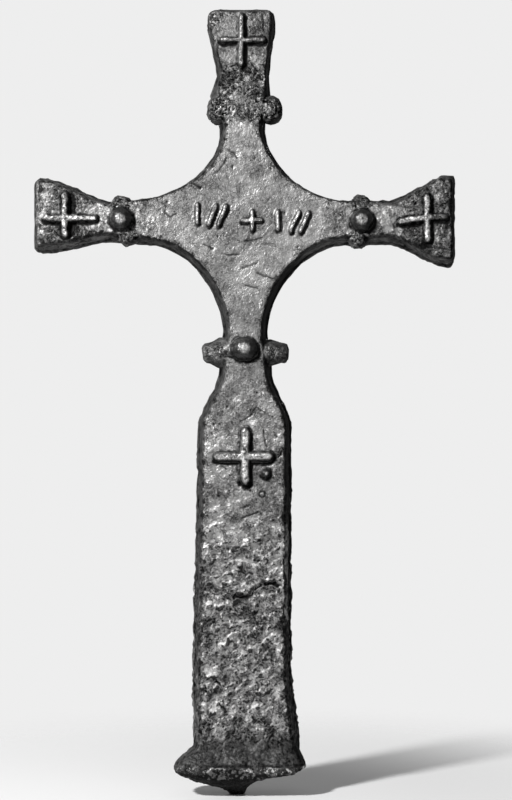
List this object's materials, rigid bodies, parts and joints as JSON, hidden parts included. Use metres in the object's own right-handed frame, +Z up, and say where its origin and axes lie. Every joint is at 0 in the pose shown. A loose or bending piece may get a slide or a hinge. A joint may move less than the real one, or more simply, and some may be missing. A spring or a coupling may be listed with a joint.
{
  "type": "grave cross",
  "caption": "Cast-iron grave cross with flared arm ends, beaded collars, raised crosses and marks, and a flared foot on a broken stub.",
  "frame": {"origin": "middle plane of the casting, at the flat under the broken stub of the foot, below the middle of the shaft", "axes": "+Z up the shaft, -Y out of the front with its raised crosses, +X to the viewer's right"},
  "size_m": [0.3372, 0.0385, 0.625],
  "materials": {
    "iron": "old sand-cast iron, corroded and dull: rubbed grey on the raised front, near black on the side walls and in the hollows"
  },
  "bodies": {
    "root": {"grave_cross": "iron"}
  },
  "joints": []
}
